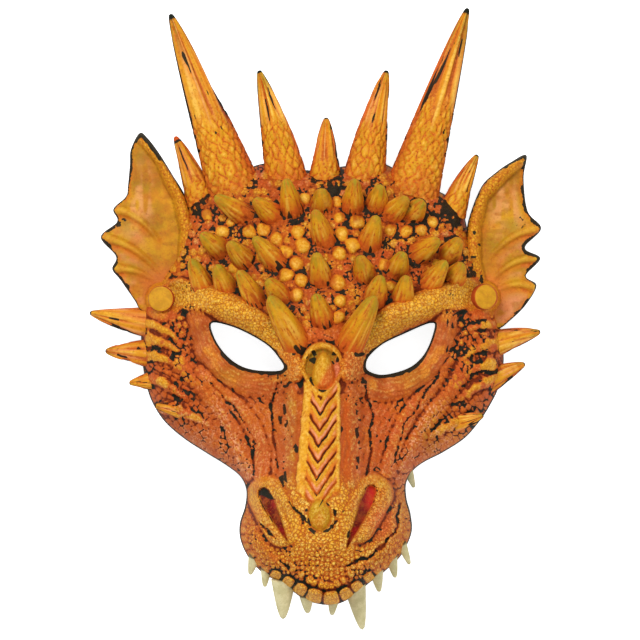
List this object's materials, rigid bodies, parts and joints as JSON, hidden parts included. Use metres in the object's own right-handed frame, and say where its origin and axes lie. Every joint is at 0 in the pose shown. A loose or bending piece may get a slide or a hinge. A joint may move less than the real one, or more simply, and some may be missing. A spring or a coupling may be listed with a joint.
{
  "type": "dragon mask",
  "caption": "Half-face dragon mask of painted soft foam with a crown of horns, webbed ears, open eye holes and an upper jaw with ivory teeth.",
  "frame": {"origin": "under the middle of the bounding box, on the plane that the rim lies on", "axes": "+Z out of the face, +Y towards the horns, +X towards the viewer's right"},
  "size_m": [0.2334, 0.318, 0.1174],
  "materials": {
    "foam": "matte paint, orange and gold over black",
    "button_paint": "matte ochre paint",
    "ivory": "matte cream"
  },
  "bodies": {
    "root": {"mask": "foam", "left_button": "button_paint", "right_button": "button_paint", "left_front_tooth": "ivory", "right_front_tooth": "ivory", "left_fang": "ivory", "right_fang": "ivory", "left_side_tooth_1": "ivory", "left_side_tooth_2": "ivory", "right_side_tooth_1": "ivory", "right_side_tooth_2": "ivory", "right_side_tooth_3": "ivory", "right_back_tooth": "ivory"}
  },
  "joints": []
}
